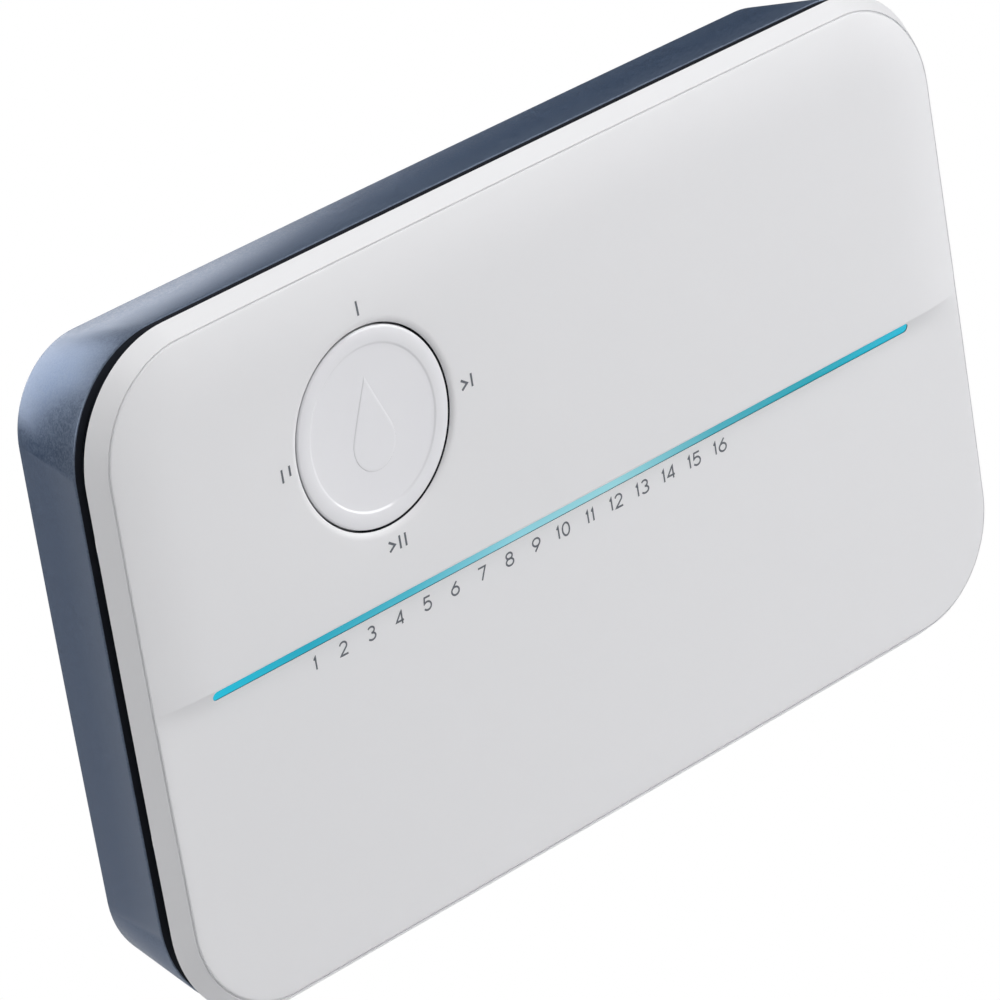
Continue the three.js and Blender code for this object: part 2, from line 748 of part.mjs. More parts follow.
function terminalBlock(name, blockX) {
  const housing = block(BLOCK.w, BLOCK.h, blockX, BLOCK_Y, BLOCK.z0, BLOCK.z1);
  const front = BLOCK_Y - BLOCK.h / 2;
  const wellW = TAB.w + TAB_WELL_EXTRA;
  const wellH = TAB.h + TAB_WELL_EXTRA;
  const cuts = [];
  for (let i = 0; i < TABS_PER_BLOCK; i += 1) {
    const x = tabX(blockX, i);
    cuts.push(
      block(wellW, wellH, x, TAB_Y, TAB_WELL_FLOOR_Z, BLOCK.z1 + 1),
      rodAlongY(WIRE_HOLE.r, front - 1, front + WIRE_HOLE.depth, x, WIRE_HOLE.z),
    );
  }
  return piece(name, cut(housing, ...cuts), palePlastic);
}

// The tabs are numbered from left to right, through both blocks.
function terminalTabs() {
  const tabs = [];
  for (const blockX of [-BLOCK_X, BLOCK_X]) {
    for (let i = 0; i < TABS_PER_BLOCK; i += 1) {
      const number = String(tabs.length + 1).padStart(2, "0");
      const body = block(TAB.w, TAB.h, tabX(blockX, i), TAB_Y, TAB.z0, TAB.z1);
      const isCommon = i === TABS_PER_BLOCK - 1;
      tabs.push(piece(`terminal_tab_${number}`, body, isCommon ? greyPlastic : bluePaint));
    }
  }
  return tabs;
}

// -------------------------------------------------------------------------- assembly

function controller() {
  const unit = new THREE.Group();
  unit.add(
    frontCover(),
    ...coverMagnets(),
    lightBar(),
    buttonCap(),
    buttonGimbal(),
    buttonRetainer(),
    keypadSheet(),
    ...tactSwitches(),
    switchBoard(),
    switchFlex(),
    ledBoard(),
    innerChassis(),
    ...catchPlates(),
    ...chassisScrews(),
    rearHousing(),
    cableGrommet(),
    mainBoard(),
    ...boardScrews(),
    ...boardParts(),
    powerJack(),
    ribbonCable(),
    terminalBlock("terminal_block_left", -BLOCK_X),
    terminalBlock("terminal_block_right", BLOCK_X),
    ...terminalTabs(),
  );
  unit.rotation.x = Math.PI / 2;
  return unit;
}

const model = new THREE.Group();
model.add(controller());

export default model;
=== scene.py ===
"""Looks for the wall-mounted irrigation controller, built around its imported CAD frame.

Row frame: +X right, +Z up, the front faces -Y, the wall is the plane Y = 0, metres.
Shapes are written in millimetres as (x, depth, z), where depth is measured from the
front plane towards the wall, and at() turns them into the row frame.
"""

import math

import bmesh
import bpy
from mathutils import Matrix, Vector
from mathutils.geometry import delaunay_2d_cdt


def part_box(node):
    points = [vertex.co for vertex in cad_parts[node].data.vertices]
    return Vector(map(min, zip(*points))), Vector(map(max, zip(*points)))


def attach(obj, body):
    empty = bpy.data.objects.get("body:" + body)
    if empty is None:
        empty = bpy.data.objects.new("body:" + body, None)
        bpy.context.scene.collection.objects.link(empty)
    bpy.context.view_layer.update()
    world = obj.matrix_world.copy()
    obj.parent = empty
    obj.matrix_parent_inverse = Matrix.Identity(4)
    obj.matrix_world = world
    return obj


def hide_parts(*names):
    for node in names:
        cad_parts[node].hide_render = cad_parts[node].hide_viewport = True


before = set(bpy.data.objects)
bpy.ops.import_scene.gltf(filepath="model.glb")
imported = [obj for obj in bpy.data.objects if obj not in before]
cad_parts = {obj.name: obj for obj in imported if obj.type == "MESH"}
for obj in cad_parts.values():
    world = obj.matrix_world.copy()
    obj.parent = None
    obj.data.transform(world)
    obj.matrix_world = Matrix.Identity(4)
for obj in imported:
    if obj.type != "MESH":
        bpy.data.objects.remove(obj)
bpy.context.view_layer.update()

# ------------------------------------------------------------------ sizes, millimetres

MM = 0.001


def node_box(name):
    """A CAD node's box as ((x0, x1), (depth0, depth1), (z0, z1)) in millimetres."""
    low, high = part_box(name)
    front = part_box("front_cover")[0].y
    return (
        (low.x / MM, high.x / MM),
        ((low.y - front) / MM, (high.y - front) / MM),
        (low.z / MM, high.z / MM),
    )


def middle(span):
    return (span[0] + span[1]) / 2


def length(span):
    return span[1] - span[0]


cover_box = node_box("front_cover")
housing_box = node_box("rear_housing")
bar_box = node_box("light_bar")
cap_box = node_box("button_cap")

WIDTH = length(cover_box[0])
HEIGHT = length(cover_box[2])
FRONT_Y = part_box("front_cover")[0].y
TOTAL_DEPTH = -FRONT_Y / MM

# Front cover.
BOW = 0.35  # the long and short edges bulge outwards by this much
RIM_DEPTH = 5.4
CEILING_DEPTH = 2.6
BEVEL = 3  # how far the side leans in towards the front
COVER_RIM = (WIDTH, HEIGHT, 24.5)
COVER_FRONT = (WIDTH - 2 * BEVEL, HEIGHT - 2 * BEVEL, 21.5)
COVER_HOLLOW = (WIDTH - 5, HEIGHT - 4.6, 22)

# The face: a pillow above the crease, and below it a ramp down to a flat lower half.
CREASE_Z = -0.5
LOWER_DEPTH = 1.3
RAMP_LENGTH = 6.2
PILLOW_DEPTH = 1.35
PILLOW_WIDTH = 14
CREASE_ROUND = 0.4
CREASE_DROP = 0.04
LOWER_EDGE_WIDTH = 1.6
FACE_START = 0.25  # the face starts to roll over this far inside its outline
GROOVE_DEPTH = 0.45  # a fine groove parts the face from the bevelled side
GROOVE_WIDTH = 0.4

# Round button and its hole.
BUTTON_X = middle(cap_box[0])
BUTTON_Z = middle(cap_box[2])
HOLE_R = 20.2
LIP_WIDTH = 1.6
LIP_DEPTH = 0.7
CAP_R = 19.8
CAP_FLANGE_R = length(cap_box[0]) / 2
CAP_RIM_DEPTH = cap_box[1][0]
CAP_BOTTOM_DEPTH = cap_box[1][1]
DISH_R = 16.4

# Light bar: the CAD node's box is as long as its flange, 1.5 mm longer at each end.
FLANGE_EXTRA = 3
BAR_LENGTH = length(bar_box[0]) - FLANGE_EXTRA
BAR_HEIGHT = 1.9
BAR_X = middle(bar_box[0])
BAR_Z = middle(bar_box[2])
BAR_FLANGE = 4.4
SLOT_EXTRA = 0.04
SLOT_REACH = BAR_LENGTH / 2 + 0.8 + abs(BAR_X)  # face rows stop clear of the slot here

# Rear housing.
HOUSING_FRONT_DEPTH = housing_box[1][0]
SHOULDER_DEPTH = TOTAL_DEPTH - 3.95
WALL = 2.2
HOUSING_FRONT = (length(housing_box[0]), length(housing_box[2]), 24.2)
HOUSING_BACK = (WIDTH - 14.2, HEIGHT - 11, 17.5)
PLINTH = (200, 112, 12)
WALL_SCREWS = [(-93.5, 20), (93.5, 20), (-93.5, -42), (93.5, -42)]
WALL_SCREW_R = 2.4
CHASSIS_POSTS = [(-74, 57), (74, 57), (-74, -57), (74, -57)]
BOARD_POSTS = [(-82, 46), (82, 46), (-82, -46), (82, -46)]
CABLE_ENTRY = (0, -38, 32, 20)
JACK_X = middle(node_box("power_jack")[0])
JACK_DEPTH = TOTAL_DEPTH - 16

# Camera, from the viewing angle of the reference.
AZIMUTH = math.radians(-41.83)
ELEVATION = math.radians(21.95)
ROLL = math.radians(-9.41)
CAMERA_DISTANCE = 1.302
LENS = 240.6
TARGET = Vector((-0.011, FRONT_Y + 0.0103, 0.0007))
LENS_SHIFT = (-0.0047, 0.0025)


def at(x, depth, z):
    return Vector((x * MM, FRONT_Y + depth * MM, z * MM))


# ------------------------------------------------------------------------ mesh helpers

CORNER_STEPS = 28
EDGE_STEPS = 10


class Skin:
    """Collects points and faces of one closed surface, and turns them into an object."""

    def __init__(self):
        self.points = []
        self.faces = []
        self.finishes = []

    def loop(self, points):
        start = len(self.points)
        self.points.extend(at(*p) for p in points)
        return list(range(start, len(self.points)))

    def face(self, corners, finish=0):
        self.faces.append(corners)
        self.finishes.append(finish)

    def bridge(self, first, second, finish=0, closed=True):
        count = len(first)
        for i in range(count if closed else count - 1):
            j = (i + 1) % count
            self.face((first[i], first[j], second[j], second[i]), finish)

    def chain(self, loops, finish=0):
        indices = [self.loop(points) for points in loops]
        for first, second in zip(indices, indices[1:]):
            self.bridge(first, second, finish)
        return indices

    def sheet(self, lines, depth_at, keep, finish=0):
        """A triangulated sheet through closed or open lines of (x, z) points."""
        points = []
        edges = []
        for line, closed in lines:
            start = len(points)
            points.extend(Vector(p) for p in line)
            last = len(points) - 1
            edges.extend((i, i + 1) for i in range(start, last))
            if closed:
                edges.append((last, start))
        flat, _, triangles, *_ = delaunay_2d_cdt(points, edges, [], 0, 1e-5)
        base = len(self.points)
        self.points.extend(at(p.x, depth_at(p.x, p.y), p.y) for p in flat)
        for corners in triangles:
            x = sum(flat[i].x for i in corners) / 3
            z = sum(flat[i].y for i in corners) / 3
            if keep(x, z):
                self.face([base + i for i in corners], finish)

    def build(self, name, materials, body, sharp=32):
        mesh = bpy.data.meshes.new(name)
        mesh.from_pydata(self.points, [], self.faces)
        for material in materials:
            mesh.materials.append(material)
        mesh.polygons.foreach_set("material_index", self.finishes)
        obj = bpy.data.objects.new(name, mesh)
        bpy.context.scene.collection.objects.link(obj)
        tidy(mesh, sharp)
        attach(obj, body)
        return obj


def tidy(mesh, sharp):
    """Merges doubled points, turns faces outwards and marks the sharp edges."""
    bm = bmesh.new()
    bm.from_mesh(mesh)
    bmesh.ops.remove_doubles(bm, verts=bm.verts, dist=3e-6)
    bmesh.ops.dissolve_degenerate(bm, edges=bm.edges, dist=1e-6)
    loose = [v for v in bm.verts if not v.link_faces]
    bmesh.ops.delete(bm, geom=loose, context="VERTS")
    bmesh.ops.recalc_face_normals(bm, faces=bm.faces)
    limit = math.radians(sharp)
    for face in bm.faces:
        face.smooth = True
    for edge in bm.edges:
        if len(edge.link_faces) == 2:
            edge.smooth = edge.calc_face_angle() < limit
    bm.to_mesh(mesh)
    bm.free()


def circle(x, z, r, count=96):
    turn = 2 * math.pi / count
    return [(x + r * math.cos(i * turn), z + r * math.sin(i * turn)) for i in range(count)]


def stadium(x, z, w, h, count=12):
    """A closed outline with half-round ends."""
    r = h / 2
    reach = w / 2 - r
    points = []
    for side, start in ((1, -math.pi / 2), (-1, math.pi / 2)):
        for i in range(count + 1):
            a = start + math.pi * i / count
            points.append((x + side * reach + r * math.cos(a), z + r * math.sin(a)))
    return points


def with_depth(points, depth):
    """Adds a depth, a number or a function of x and z, to (x, z) points."""
    if callable(depth):
        return [(x, depth(x, z), z) for x, z in points]
    return [(x, depth, z) for x, z in points]


def half_outline(size, upper, bow=BOW):
    """Half of a rounded rectangle, cut at the crease.

    The upper half runs from the right end of the crease over the top to the left end,
    and the lower half runs from the left end under the bottom to the right end.
    """
    w, h, r = size
    sign = 1 if upper else -1
    straight = h / 2 - r
    points = []
    for i in range(EDGE_STEPS):
        points.append((w / 2, CREASE_Z + (sign * straight - CREASE_Z) * i / EDGE_STEPS))
    for i in range(CORNER_STEPS):
        a = math.pi / 2 * i / CORNER_STEPS
        points.append((w / 2 - r + r * math.cos(a), sign * (straight + r * math.sin(a))))
    for i in range(2 * EDGE_STEPS):
        share = i / (2 * EDGE_STEPS)
        points.append(((w / 2 - r) * (1 - 2 * share), sign * h / 2))
    for i in range(CORNER_STEPS):
        a = math.pi / 2 * (1 - i / CORNER_STEPS)
        points.append((-w / 2 + r - r * math.cos(a), sign * (straight + r * math.sin(a))))
    for i in range(EDGE_STEPS + 1):
        share = 1 - i / EDGE_STEPS
        points.append((-w / 2, CREASE_Z + (sign * straight - CREASE_Z) * share))
    points = [bowed(x, z, w, h, bow) for x, z in points]
    return points if upper else points[::-1]


def bowed(x, z, w, h, bow):
    """Pushes the middle of each edge outwards a little, and draws its ends in."""
    across = x / (w / 2)
    up = z / (h / 2)
    return (
        x + bow * across * abs(across) ** 3 * (0.5 - up * up),
        z + bow * up * abs(up) ** 3 * (0.5 - across * across),
    )


def outline(size, bow=BOW):
    return half_outline(size, True, bow) + half_outline(size, False, bow)


def inset(size, by):
    w, h, r = size
    return (w - 2 * by, h - 2 * by, max(r - by, 0.5))


def mix(a, b, share):
    return tuple(p + (q - p) * share for p, q in zip(a, b))


def curve(p0, p1, p2, steps):
    """Loops of points along a quadratic curve between three loops."""
    loops = []
    for i in range(steps + 1):
        t = i / steps
        a, b, c = (1 - t) ** 2, 2 * t * (1 - t), t * t
        loops.append([
            tuple(a * u + b * v + c * w for u, v, w in zip(*triple))
            for triple in zip(p0, p1, p2)
        ])
    return loops


def edge_distance(x, z, size):
    """How far a point lies inside a rounded rectangle."""
    w, h, r = size
    qx = abs(x) - (w / 2 - r)
    qz = abs(z) - (h / 2 - r)
    outside = math.hypot(max(qx, 0), max(qz, 0))
    return r - outside - min(max(qx, qz), 0)


def turned(name, profile, x, z, materials, body, count=64, sharp=32):
    """A round piece: profile is a list of (radius, depth[, finish]) around (x, z)."""
    skin = Skin()
    loops = []
    for r, depth, *_ in profile:
        points = circle(x, z, r, count) if r > 0 else [(x, z)] * count
        loops.append(skin.loop(with_depth(points, depth)))
    for i, (first, second) in enumerate(zip(loops, loops[1:])):
        finish = profile[i][2] if len(profile[i]) > 2 else 0
        skin.bridge(first, second, finish)
    return skin.build(name, materials, body, sharp)


# ----------------------------------------------------------------------------- materials


class Nodes:
    """Short calls for building a node tree."""

    def __init__(self, name):
        self.material = bpy.data.materials.new(name)
        self.material.use_nodes = True
        self.tree = self.material.node_tree
        self.shader = self.tree.nodes["Principled BSDF"]
        coordinates = self.tree.nodes.new("ShaderNodeTexCoord")
        self.place = coordinates.outputs["Object"]

    def add(self, kind, **inputs):
        node = self.tree.nodes.new(kind)
        for key, value in inputs.items():
            socket = node.inputs[key.replace("_", " ")]
            self.feed(socket, value)
        return node

    def feed(self, socket, value):
        if isinstance(value, bpy.types.NodeSocket):
            self.tree.links.new(value, socket)
        else:
            socket.default_value = value

    def set(self, **inputs):
        for key, value in inputs.items():
            self.feed(self.shader.inputs[key.replace("_", " ")], value)

    def noise(self, scale, detail=2, roughness=0.5, vector=None):
        node = self.add(
            "ShaderNodeTexNoise",
            Scale=scale,
            Detail=detail,
            Roughness=roughness,
            Vector=vector or self.place,
        )
        return node.outputs["Fac"]

    def ramp(self, fac, stops):
        node = self.add("ShaderNodeValToRGB", Fac=fac)
        elements = node.color_ramp.elements
        while len(elements) < len(stops):
            elements.new(0.5)
        for element, (position, value) in zip(elements, stops):
            element.position = position
            element.color = value if len(value) == 4 else (*value, 1)
        return node.outputs["Color"]

    def level(self, fac, low, high):
        """A 0 to 1 value stretched to low..high."""
        node = self.add("ShaderNodeMapRange", Value=fac)
        node.inputs["To Min"].default_value = low
        node.inputs["To Max"].default_value = high
        return node.outputs["Result"]

    def blend(self, fac, a, b):
        node = self.tree.nodes.new("ShaderNodeMix")
        node.data_type = "RGBA"
        self.feed(node.inputs[0], fac)
        self.feed(node.inputs[6], a)
        self.feed(node.inputs[7], b)
        return node.outputs[2]

    def bump(self, height, strength, distance):
        node = self.add("ShaderNodeBump", Height=height, Strength=strength, Distance=distance)
        self.set(Normal=node.outputs["Normal"])


def rgb(r, g, b):
    """An sRGB colour in 0 to 255 as linear RGBA."""
    def linear(value):
        value /= 255
        return value / 12.92 if value <= 0.04045 else ((value + 0.055) / 1.055) ** 2.4

    return (linear(r), linear(g), linear(b), 1)


def moulded(name, color, roughness, grain=0.12, tint=0.03):
    """Injection-moulded plastic: a fine grain and a slow drift in colour and gloss."""
    n = Nodes(name)
    dark = tuple(c * (1 - tint) for c in color[:3]) + (1,)
    drift = n.noise(9, 3)
    n.set(
        Base_Color=n.blend(drift, color, dark),
        Roughness=n.level(n.noise(160, 4), roughness - 0.05, roughness + 0.05),
    )
    n.bump(n.noise(5200, 2), grain, 0.00003)
    return n.material


def cover_material():
    return moulded("cover_white", rgb(232, 232, 234), 0.42, grain=0.1, tint=0.015)


def button_material():
    n = Nodes("button_white")
    n.set(
        Base_Color=n.blend(n.noise(30), rgb(237, 237, 240), rgb(232, 232, 236)),
        Roughness=n.level(n.noise(400, 3), 0.1, 0.16),
        Coat_Weight=0.5,
        Coat_Roughness=0.05,
    )
    n.bump(n.noise(900, 2), 0.03, 0.00002)
    return n.material


def paint_material():
    """Satin metallic blue-grey paint with a fine sparkle, lighter on its edges, partly from wear
    and partly as a painted highlight.
    """
    n = Nodes("housing_blue")
    flakes = n.add("ShaderNodeTexVoronoi", Scale=2900, Vector=n.place)
    glints = n.ramp(flakes.outputs["Color"], [(0.2, (0, 0, 0)), (0.95, (1, 1, 1))])
    body = n.blend(n.noise(14, 3), rgb(46, 72, 106), rgb(40, 65, 98))
    # Painted highlight and wear: edges found by pointiness are lightened towards pale grey. This
    # stands partly for rubbed paint and partly for the sheen on the rounded front edge.
    shape = n.tree.nodes.new("ShaderNodeNewGeometry")
    edge = n.ramp(shape.outputs["Pointiness"], [(0.53, (0, 0, 0)), (0.6, (1, 1, 1))])
    glinting = n.blend(n.level(glints, 0, 0.3), body, rgb(136, 152, 172))
    n.set(
        Base_Color=n.blend(n.level(edge, 0, 0.6), glinting, rgb(190, 196, 204)),
        Metallic=0.5,
        Roughness=n.level(glints, 0.3, 0.5),
        Coat_Weight=0.1,
        Coat_Roughness=0.4,
    )
    n.bump(n.noise(3000, 3, 0.6), 0.3, 0.00005)
    return n.material


def light_material():
    """The lit bar: bright at its ends, pale where the middle lamps are brightest."""
    n = Nodes("light_teal")
    split = n.add("ShaderNodeSeparateXYZ", Vector=n.place)
    half = BAR_LENGTH / 2 * MM
    along = n.add("ShaderNodeMapRange", Value=split.outputs["X"])
    along.inputs["From Min"].default_value = -half
    along.inputs["From Max"].default_value = half
    teal = n.ramp(along.outputs["Result"], [
        (0.0, rgb(0, 182, 210)),
        (0.12, rgb(14, 160, 184)),
        (0.26, rgb(64, 172, 192)),
        (0.41, rgb(132, 198, 211)),
        (0.55, rgb(142, 202, 211)),
        (0.7, rgb(64, 164, 181)),
        (0.84, rgb(18, 156, 174)),
        (1.0, rgb(0, 178, 206)),
    ])
    n.set(
        Base_Color=n.blend(0.85, teal, (0, 0, 0, 1)),
        Emission_Color=teal,
        Emission_Strength=n.level(n.noise(60), 0.88, 0.96),
        Roughness=0.35,
        Specular_IOR_Level=0.15,
    )
    return n.material


def metal(name, color, roughness, streaks=(1, 1, 14)):
    """Plated or rolled metal with fine streaks and dull patches."""
    n = Nodes(name)
    stretch = n.add("ShaderNodeMapping", Vector=n.place)
    stretch.inputs["Scale"].default_value = streaks
    grain = n.noise(900, 4, 0.6, stretch.outputs["Vector"])
    dull = tuple(c * 0.8 for c in color[:3]) + (1,)
    n.set(
        Base_Color=n.blend(n.noise(60, 4), color, dull),
        Metallic=1.0,
        Roughness=n.level(grain, roughness - 0.08, roughness + 0.12),
    )
    n.bump(grain, 0.15, 0.00003)
    return n.material


def circuit_board_material():
    """Green solder mask over copper tracks, with tinned holes where tracks change side."""
    n = Nodes("circuit_board")
    cells = n.add("ShaderNodeTexVoronoi", Scale=210, Randomness=0.75, Vector=n.place)
    cells.distance = "MANHATTAN"
    cells.feature = "F2"
    tracks = n.ramp(cells.outputs["Distance"], [
        (0.5, (0, 0, 0)), (0.52, (1, 1, 1)), (0.62, (1, 1, 1)), (0.64, (0, 0, 0)),
    ])
    dots = n.add("ShaderNodeTexVoronoi", Scale=330, Randomness=0.9, Vector=n.place)
    holes = n.ramp(dots.outputs["Distance"], [(0.1, (1, 1, 1)), (0.13, (0, 0, 0))])
    mask = n.blend(n.noise(40, 3), rgb(16, 84, 58), rgb(12, 74, 52))
    tracked = n.blend(n.level(tracks, 0, 0.8), mask, rgb(30, 112, 76))
    n.set(
        Base_Color=n.blend(n.level(holes, 0, 0.9), tracked, rgb(196, 190, 160)),
        Metallic=n.level(holes, 0, 0.8),
        Roughness=n.level(n.noise(500, 3), 0.26, 0.38),
    )
    n.bump(n.add("ShaderNodeMath", Value=tracks).outputs[0], 0.3, 0.00003)
    return n.material


def ribbon_material(name, base, line):
    """Flat cable: conductors show as lines along its length."""
    n = Nodes(name)
    wave = n.add("ShaderNodeTexWave", Scale=470, Distortion=0.0, Vector=n.place)
    lines = n.ramp(wave.outputs["Fac"], [(0.4, (0, 0, 0)), (0.6, (1, 1, 1))])
    n.set(
        Base_Color=n.blend(n.level(lines, 0, 0.7), base, line),
        Roughness=n.level(n.noise(300, 3), 0.35, 0.5),
    )
    n.bump(wave.outputs["Fac"], 0.3, 0.00005)
    return n.material


def slot_materials():
    """One material for each of the record's slots that a CAD node still shows."""
    return {
        "dark_plastic": DARK,
        "grey_plastic": moulded("grey_plastic", rgb(112, 117, 124), 0.5, 0.25, 0.08),
        "magnet": metal("magnet", rgb(186, 188, 192), 0.22),
        "steel": metal("steel", rgb(172, 174, 178), 0.32),
        "silicone": moulded("silicone", rgb(188, 190, 188), 0.62, 0.2, 0.06),
        "black_resin": moulded("black_resin", rgb(26, 26, 28), 0.48, 0.5, 0.3),
        "circuit_board": circuit_board_material(),
        "cable_film": ribbon_material("cable_film", rgb(216, 212, 198), rgb(150, 140, 118)),
        "rubber": moulded("rubber", rgb(27, 28, 30), 0.75, 0.5, 0.25),
        "capacitor_can": metal("capacitor_can", rgb(188, 190, 194), 0.26, (14, 14, 1)),
        "inductor_core": moulded("inductor_core", rgb(58, 58, 62), 0.55, 0.6, 0.25),
        "fuse_yellow": moulded("fuse_yellow", rgb(226, 178, 38), 0.4, 0.2, 0.08),
        "block_white": moulded("block_white", rgb(222, 223, 219), 0.45, 0.25, 0.05),
        "tab_blue": moulded("tab_blue", rgb(36, 108, 168), 0.42, 0.25, 0.1),
        "housing_blue": PAINT,
        "cover_white": COVER,
        "button_white": BUTTON,
        "light_teal": LIGHT,
    }


COVER = cover_material()
BUTTON = button_material()
PAINT = paint_material()
LIGHT = light_material()
DARK = moulded("dark_plastic", rgb(13, 18, 28), 0.55, grain=0.3, tint=0.2)
# Painted shade: a near-black finish for the inside of the cover, the walls of its button hole and
# bar slot, and the front lip and inner walls of the housing. It stands in for the shade that
# falls in the gaps between the parts.
PAINTED_SHADE = moulded("painted_shade_black", rgb(4, 12, 28), 0.8, grain=0.3, tint=0.2)
INK = moulded("mark_grey", rgb(98, 102, 110), 0.5, grain=0.1, tint=0.1)
PALE_INK = moulded("mark_pale", rgb(196, 200, 206), 0.5, grain=0.1, tint=0.1)


# --------------------------------------------------------------------------- front cover


def lip(x, z):
    """The face rolls over into the button's hole."""
    share = 1 - max(math.hypot(x - BUTTON_X, z - BUTTON_Z) - HOLE_R, 0) / LIP_WIDTH
    if share <= 0:
        return 0
    return LIP_DEPTH * (1 - math.sqrt(max(1 - share * share, 0)))


def pillow(x, z):
    """How far the upper face has fallen away towards its outline."""
    inside = max(edge_distance(x, z, COVER_FRONT), 0)
    return PILLOW_DEPTH * (1 - min(inside / PILLOW_WIDTH, 1)) ** 2


def upper_depth(x, z):
    """Depth of the face above the crease."""
    above = min(max(z - CREASE_Z, 0) / CREASE_ROUND, 1)
    return pillow(x, z) + CREASE_DROP * (1 - above) ** 2 + lip(x, z)


def lower_depth(x, z):
    """Depth of the face below the crease: a ramp, then the flat lower half."""
    inside = max(edge_distance(x, z, COVER_FRONT), 0)
    edge = (1 - min(inside / LOWER_EDGE_WIDTH, 1)) ** 2
    flat = LOWER_DEPTH + (PILLOW_DEPTH - LOWER_DEPTH) * edge
    down = 1 - min(max(CREASE_Z - z, 0) / RAMP_LENGTH, 1)
    top = upper_depth(x, CREASE_Z)
    return flat + (top - flat) * down ** 3


def edge_loops(upper):
    """The rounded edge of the face and the groove that the bevelled side starts from."""
    depth_at = upper_depth if upper else lower_depth

    def line(by, drop):
        points = half_outline(inset(COVER_FRONT, by), upper)
        edge = half_outline(COVER_FRONT, upper)
        return [(x, depth_at(u, v) + drop, z) for (x, z), (u, v) in zip(points, edge)]

    start = with_depth(half_outline(inset(COVER_FRONT, FACE_START), upper), depth_at)
    rolled = curve(start, line(0, 0), line(0, GROOVE_DEPTH * 0.6), 4)
    floor = [line(0, GROOVE_DEPTH), line(-GROOVE_WIDTH * 0.7, GROOVE_DEPTH)]
    return rolled + floor + [line(-GROOVE_WIDTH, GROOVE_DEPTH * 0.5)]


def crease_line(size):
    """Points along the crease from the left edge line to the right one."""
    left = half_outline(size, True)[-1][0]
    right = half_outline(size, True)[0][0]
    stops = [left + step for step in (0, 0.6, 1.3, 2.2, 3.4, 5, 7, 9, 11)] + [-SLOT_REACH]
    count = 40
    inner = [-SLOT_REACH + 2 * SLOT_REACH * i / count for i in range(1, count)]
    return stops + inner + [left + right - x for x in reversed(stops)]


def face_lines(upper, xs):
    """Lines that a half of the face is triangulated through."""
    edge = inset(COVER_FRONT, FACE_START)
    lines = [(half_outline(edge, upper), False), ([(x, CREASE_Z) for x in xs], False)]
    steps = [0.7, 1.6, 2.8, 4.3, 6, 8, 10.4, 13, 16] if upper else [0.5, 1, 1.6, 2.3, 3]
    sign = 1 if upper else -1
    for by in steps:
        half = half_outline(inset(edge, by), upper)
        lines.append(([p for p in half if sign * (p[1] - CREASE_Z) > 0.45], False))
    if upper:
        rows = [0.1, 0.22, CREASE_ROUND]
    else:
        rows = [-0.1, -0.25] + [-0.5 * i for i in range(1, 13)]
    for up in rows:
        z = CREASE_Z + up
        if abs(z - BAR_Z) < BAR_HEIGHT / 2 + SLOT_EXTRA + 0.05:
            lines.append(([(x, z) for x in xs[1:-1] if x < -SLOT_REACH + 0.01], False))
            lines.append(([(x, z) for x in xs[1:-1] if x > SLOT_REACH - 0.01], False))
        else:
            lines.append(([(x, z) for x in xs[1:-1]], False))
    return lines


def keep_upper(x, z):
    return math.hypot(x - BUTTON_X, z - BUTTON_Z) > HOLE_R * 0.9995


def in_slot(x, z):
    r = BAR_HEIGHT / 2 + SLOT_EXTRA
    reach = BAR_LENGTH / 2 + SLOT_EXTRA - r
    return math.hypot(max(abs(x - BAR_X) - reach, 0), z - BAR_Z) < r * 0.9995


def front_cover():
    skin = Skin()
    upper_loops = edge_loops(True)
    lower_loops = edge_loops(False)
    loops = [u + l for u, l in zip(upper_loops, lower_loops)]
    rim_back = inset(COVER_RIM, 0.25)
    hollow = outline(COVER_HOLLOW)
    loops += [
        with_depth(outline(COVER_RIM), RIM_DEPTH - 0.2),
        with_depth(outline(rim_back), RIM_DEPTH),
        with_depth(hollow, RIM_DEPTH),
        with_depth(hollow, CEILING_DEPTH),
    ]
    # Bridges from here on, which form the cover's inner wall, take finish 1: painted shade.
    inside_from = len(loops) - 2
    indices = [skin.loop(points) for points in loops]
    for i, (first, second) in enumerate(zip(indices, indices[1:])):
        skin.bridge(first, second, 1 if i >= inside_from else 0)

    xs = crease_line(inset(COVER_FRONT, FACE_START))
    hole = circle(BUTTON_X, BUTTON_Z, HOLE_R)
    lip_rings = [
        (circle(BUTTON_X, BUTTON_Z, HOLE_R + LIP_WIDTH * share), True)
        for share in (0.02, 0.08, 0.18, 0.32, 0.52, 0.75, 1.0)
    ]
    slot = stadium(BAR_X, BAR_Z, BAR_LENGTH + 2 * SLOT_EXTRA, BAR_HEIGHT + 2 * SLOT_EXTRA)
    skin.sheet(face_lines(True, xs) + [(hole, True)] + lip_rings, upper_depth, keep_upper)
    lower_lines = face_lines(False, xs) + [(slot, True)]
    skin.sheet(lower_lines, lower_depth, lambda x, z: not in_slot(x, z))

    # The walls of the button hole and the bar slot, and the inner ceiling below, take finish 1:
    # painted shade.
    for line, depth_at in ((hole, upper_depth), (slot, lower_depth)):
        skin.chain([with_depth(line, depth_at), with_depth(line, CEILING_DEPTH)], 1)
    skin.sheet(
        [(hollow, True), (hole, True), (slot, True)],
        lambda x, z: CEILING_DEPTH,
        lambda x, z: keep_upper(x, z) and not in_slot(x, z),
        1,
    )
    cover = skin.build("front_cover_shell", [COVER, PAINTED_SHADE], "cover", 40)
    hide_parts("front_cover")
    return cover


def magnet_bosses():
    for i in range(1, 5):
        box = node_box(f"cover_magnet_{i}")
        x, z = middle(box[0]), middle(box[2])
        far = box[1][1]
        turned(
            f"magnet_boss_{i}",
            [(4.3, far), (4.3, 2.3), (5.8, 2.3), (5.8, far - 0.3), (5.5, far), (4.3, far)],
            x, z, [DARK], "cover", 48,
        )


# --------------------------------------------------------------------------- button, bar


CAP_UNDER_DEPTH = TOTAL_DEPTH - 33.6
CAP_FLANGE_DEPTH = TOTAL_DEPTH - 32.2
CAP_WALL_R = 17.4
CAP_SKIRT = 1.9


